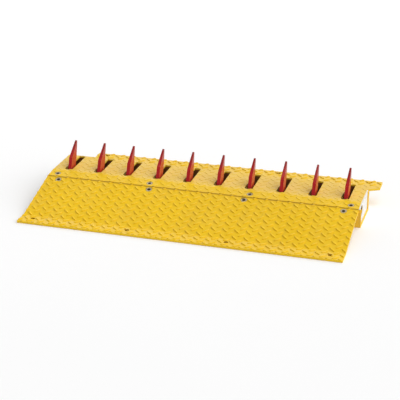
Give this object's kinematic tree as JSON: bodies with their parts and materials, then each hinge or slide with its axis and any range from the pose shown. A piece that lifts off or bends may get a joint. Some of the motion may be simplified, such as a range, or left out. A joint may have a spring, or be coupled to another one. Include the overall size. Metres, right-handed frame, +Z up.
{
  "type": "tyre spike strip",
  "caption": "Yellow surface-mounted tyre spike strip: tread plate ramp, slotted deck and a row of sprung red spikes that fold down for traffic one way and stop it the other.",
  "frame": {"origin": "middle of the housing's underside, on the ground", "axes": "+X along the strip, +Y the way traffic may drive, +Z up"},
  "size_m": [0.9474, 0.4102, 0.127],
  "materials": {
    "tread_yellow": "semi-gloss yellow paint on raised tread plate",
    "housing_yellow": "semi-gloss yellow paint on plain plate",
    "end_plate_pale": "pale grey paint",
    "spike_red": "semi-gloss red paint",
    "bright_steel": "zinc-plated or turned steel",
    "spring_steel": "drawn spring wire"
  },
  "bodies": {
    "housing": {"ramp_plate": "tread_yellow", "top_plate": "tread_yellow", "base_plate": "housing_yellow", "front_wall": "housing_yellow", "rear_wall": "housing_yellow", "end_plate_left": "end_plate_pale", "end_plate_right": "end_plate_pale", "end_rim_right": "housing_yellow", "front_rail": "housing_yellow", "stop_bar": "bright_steel", "pivot_shaft": "bright_steel", "spacer_sleeves": "bright_steel", "retaining_rings": "bright_steel", "ramp_screws": "bright_steel", "top_screws": "bright_steel", "shaft_rib_1": "housing_yellow", "shaft_rib_2": "housing_yellow", "shaft_rib_3": "housing_yellow", "shaft_rib_4": "housing_yellow", "shaft_rib_5": "housing_yellow", "shaft_rib_6": "housing_yellow", "return_spring_01": "spring_steel", "return_spring_02": "spring_steel", "return_spring_03": "spring_steel", "return_spring_04": "spring_steel", "return_spring_05": "spring_steel", "return_spring_06": "spring_steel", "return_spring_07": "spring_steel", "return_spring_08": "spring_steel", "return_spring_09": "spring_steel", "return_spring_10": "spring_steel"},
    "spike_01": {"spike_01": "spike_red"},
    "spike_02": {"spike_02": "spike_red"},
    "spike_03": {"spike_03": "spike_red"},
    "spike_04": {"spike_04": "spike_red"},
    "spike_05": {"spike_05": "spike_red"},
    "spike_06": {"spike_06": "spike_red"},
    "spike_07": {"spike_07": "spike_red"},
    "spike_08": {"spike_08": "spike_red"},
    "spike_09": {"spike_09": "spike_red"},
    "spike_10": {"spike_10": "spike_red"}
  },
  "joints": [
    {"name": "spike_01_fold", "type": "hinge", "parent": "housing", "child": "spike_01", "pos_m": [-0.41148, -0.05526, 0.033], "axis": [-1, 0, 0], "range_deg": [0, 35.5], "stiffness_Nm_per_rad": 1.6, "springref_deg": -34.38, "deforming": ["return_spring_01"]},
    {"name": "spike_02_fold", "type": "hinge", "parent": "housing", "child": "spike_02", "pos_m": [-0.32004, -0.05526, 0.033], "axis": [-1, 0, 0], "range_deg": [0, 35.5], "stiffness_Nm_per_rad": 1.6, "springref_deg": -34.38, "deforming": ["return_spring_02"]},
    {"name": "spike_03_fold", "type": "hinge", "parent": "housing", "child": "spike_03", "pos_m": [-0.2286, -0.05526, 0.033], "axis": [-1, 0, 0], "range_deg": [0, 35.5], "stiffness_Nm_per_rad": 1.6, "springref_deg": -34.38, "deforming": ["return_spring_03"]},
    {"name": "spike_04_fold", "type": "hinge", "parent": "housing", "child": "spike_04", "pos_m": [-0.13716, -0.05526, 0.033], "axis": [-1, 0, 0], "range_deg": [0, 35.5], "stiffness_Nm_per_rad": 1.6, "springref_deg": -34.38, "deforming": ["return_spring_04"]},
    {"name": "spike_05_fold", "type": "hinge", "parent": "housing", "child": "spike_05", "pos_m": [-0.04572, -0.05526, 0.033], "axis": [-1, 0, 0], "range_deg": [0, 35.5], "stiffness_Nm_per_rad": 1.6, "springref_deg": -34.38, "deforming": ["return_spring_05"]},
    {"name": "spike_06_fold", "type": "hinge", "parent": "housing", "child": "spike_06", "pos_m": [0.04572, -0.05526, 0.033], "axis": [-1, 0, 0], "range_deg": [0, 35.5], "stiffness_Nm_per_rad": 1.6, "springref_deg": -34.38, "deforming": ["return_spring_06"]},
    {"name": "spike_07_fold", "type": "hinge", "parent": "housing", "child": "spike_07", "pos_m": [0.13716, -0.05526, 0.033], "axis": [-1, 0, 0], "range_deg": [0, 35.5], "stiffness_Nm_per_rad": 1.6, "springref_deg": -34.38, "deforming": ["return_spring_07"]},
    {"name": "spike_08_fold", "type": "hinge", "parent": "housing", "child": "spike_08", "pos_m": [0.2286, -0.05526, 0.033], "axis": [-1, 0, 0], "range_deg": [0, 35.5], "stiffness_Nm_per_rad": 1.6, "springref_deg": -34.38, "deforming": ["return_spring_08"]},
    {"name": "spike_09_fold", "type": "hinge", "parent": "housing", "child": "spike_09", "pos_m": [0.32004, -0.05526, 0.033], "axis": [-1, 0, 0], "range_deg": [0, 35.5], "stiffness_Nm_per_rad": 1.6, "springref_deg": -34.38, "deforming": ["return_spring_09"]},
    {"name": "spike_10_fold", "type": "hinge", "parent": "housing", "child": "spike_10", "pos_m": [0.41148, -0.05526, 0.033], "axis": [-1, 0, 0], "range_deg": [0, 35.5], "stiffness_Nm_per_rad": 1.6, "springref_deg": -34.38, "deforming": ["return_spring_10"]}
  ]
}
